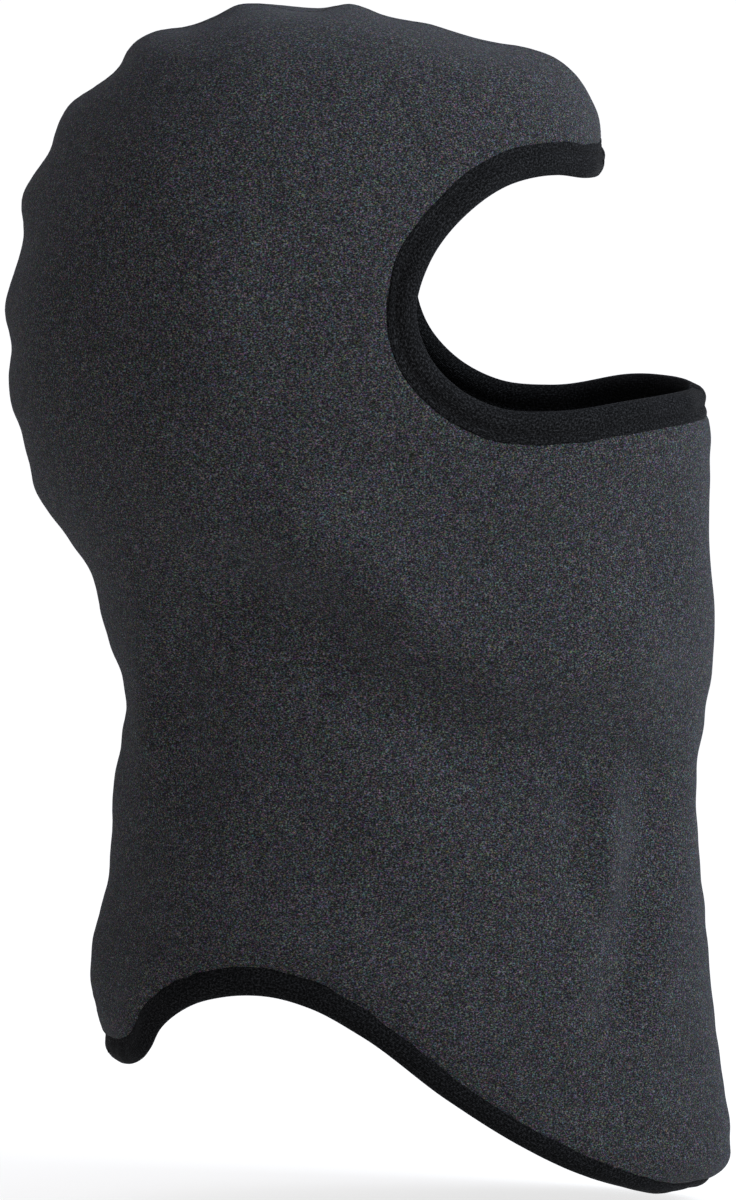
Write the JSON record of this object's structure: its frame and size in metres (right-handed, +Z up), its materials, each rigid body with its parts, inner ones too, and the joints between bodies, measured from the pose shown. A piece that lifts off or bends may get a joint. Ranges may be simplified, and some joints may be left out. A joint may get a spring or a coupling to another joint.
{
  "type": "balaclava",
  "caption": "Heather fleece balaclava with a bound face opening from brow to mid-nose, a long chest bib, an arched shoulder hem and a short nape flap.",
  "frame": {"origin": "centre of the head cavity, in the middle plane", "axes": "+Z up, the face looks along -Y, the wearer's right side is -X"},
  "size_m": [0.1624, 0.2316, 0.38],
  "materials": {
    "fleece": "charcoal heather micro-fleece, matte, brushed",
    "binding": "black stretch jersey, matte",
    "thread": "black polyester thread, slight sheen",
    "label": "blank white satin ribbon"
  },
  "bodies": {
    "root": {"right_side_panel": "fleece", "left_side_panel": "fleece", "face_binding": "binding", "hem_binding": "binding", "crown_seam_overlock": "thread", "front_seam_overlock": "thread", "face_binding_stitching": "thread", "hem_binding_stitching": "thread", "brow_tack": "thread", "nape_tack": "thread", "care_label": "label"}
  },
  "joints": []
}
